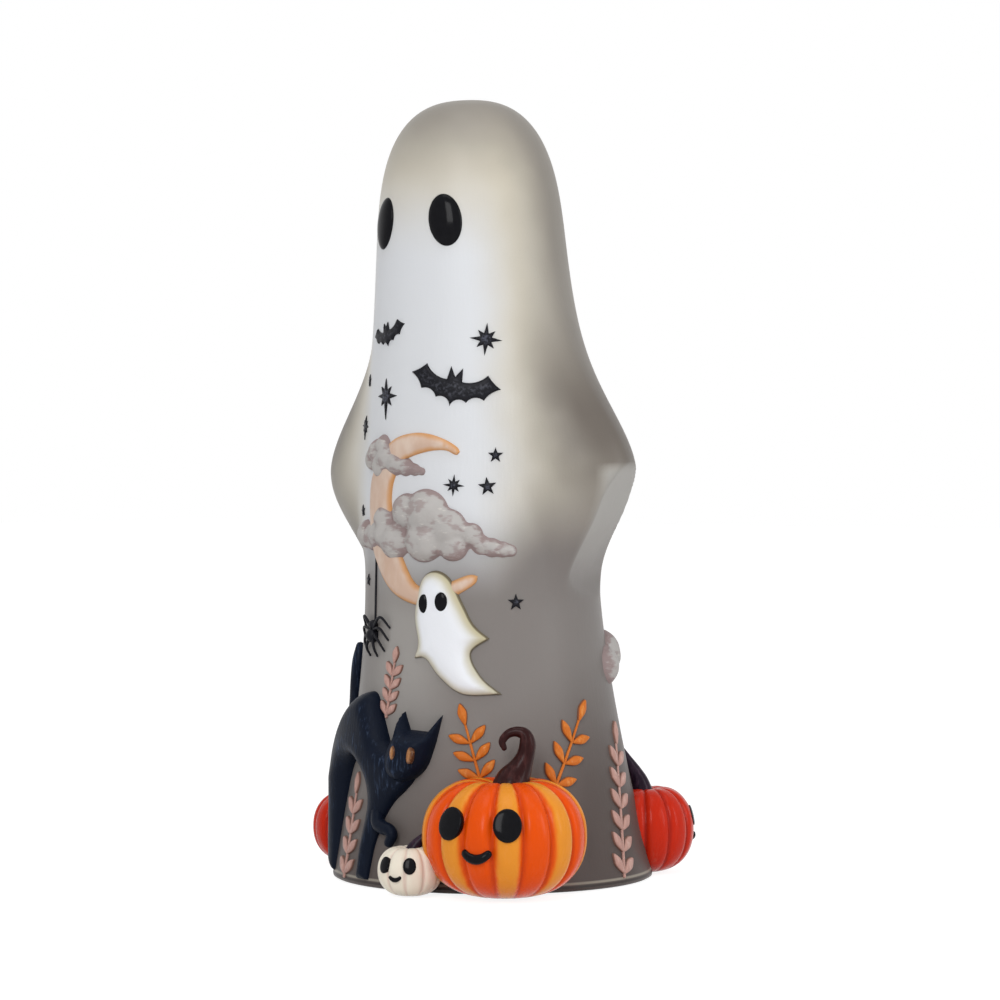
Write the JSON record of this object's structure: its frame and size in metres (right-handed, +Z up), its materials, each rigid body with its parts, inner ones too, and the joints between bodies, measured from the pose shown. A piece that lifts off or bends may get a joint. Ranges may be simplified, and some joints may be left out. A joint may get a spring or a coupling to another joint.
{
  "type": "ceramic ghost figure",
  "caption": "Standing ceramic ghost with raised arms, moon, cloud, bat and star trim, a cat and pumpkins at its hem, and a battery light in the base.",
  "frame": {"origin": "middle of the hem's foot ring, on the floor", "axes": "+Z up, -Y the way the ghost's face looks, +X towards its left arm"},
  "size_m": [0.1603, 0.1442, 0.2963],
  "materials": {
    "satin_white": "satin white glaze, airbrushed taupe at the sides",
    "black_gloss": "gloss black glaze",
    "black_trim": "satin black paint",
    "peach": "matt peach paint, darker at the edges",
    "mauve_cloud": "dry-brushed off-white over mauve",
    "little_ghost": "satin white, olive at the edges",
    "cat_black": "brushed blue-black paint",
    "amber": "gloss amber glaze",
    "pumpkin_orange": "gloss orange and yellow stripes",
    "pumpkin_white": "gloss cream with mauve ribs",
    "pumpkin_red": "gloss red",
    "stem_maroon": "gloss dark maroon",
    "leaf_orange": "matt burnt orange",
    "leaf_pink": "matt dusty rose",
    "base_grey": "matt",
    "switch_black": "matt",
    "cell_jacket": "gloss jacket",
    "contact_steel": "bright",
    "board_green": "lacquered",
    "lamp_clear": "clear warm",
    "lead_red": "matt",
    "lead_black": "matt"
  },
  "bodies": {
    "figure": {"ghost_shell": "satin_white", "left_eye": "black_gloss", "right_eye": "black_gloss", "little_ghost_eyes": "black_gloss", "front_pumpkin_face": "black_gloss", "white_pumpkin_face": "black_gloss", "right_pumpkin_face": "black_gloss", "left_pumpkin_face": "black_gloss", "large_bat": "black_trim", "small_bat": "black_trim", "compass_stars": "black_trim", "five_point_stars": "black_trim", "spider": "black_trim", "spider_thread": "black_trim", "crescent_moon": "peach", "upper_cloud": "mauve_cloud", "lower_cloud": "mauve_cloud", "back_cloud": "mauve_cloud", "little_ghost": "little_ghost", "black_cat": "cat_black", "cat_tail": "cat_black", "cat_eyes": "amber", "front_pumpkin": "pumpkin_orange", "white_pumpkin": "pumpkin_white", "right_pumpkin": "pumpkin_red", "left_pumpkin": "pumpkin_red", "front_pumpkin_stem": "stem_maroon", "white_pumpkin_stem": "stem_maroon", "right_pumpkin_stem": "stem_maroon", "left_pumpkin_stem": "stem_maroon", "orange_sprig_left": "leaf_orange", "orange_sprig_right": "leaf_orange", "pink_sprig_upper": "leaf_pink", "pink_sprig_left": "leaf_pink", "pink_sprig_right": "leaf_pink", "base_plate": "base_grey", "switch_housing": "switch_black", "cells": "cell_jacket", "contact_springs": "contact_steel", "contact_plates": "contact_steel", "board_screws": "contact_steel", "lamp_board": "board_green", "lamps": "lamp_clear", "red_lead": "lead_red", "black_leads": "lead_black"},
    "battery_door": {"battery_door": "base_grey"},
    "switch_knob": {"switch_knob": "switch_black"}
  },
  "joints": [
    {"name": "battery_door_hinge", "type": "hinge", "parent": "figure", "child": "battery_door", "pos_m": [0, 0.02685, 0.0035], "axis": [1, 0, 0], "range_deg": [0, 90]},
    {"name": "switch_slide", "type": "slide", "parent": "figure", "child": "switch_knob", "axis": [1, 0, 0], "range_m": [-0.002, 0.002]}
  ]
}
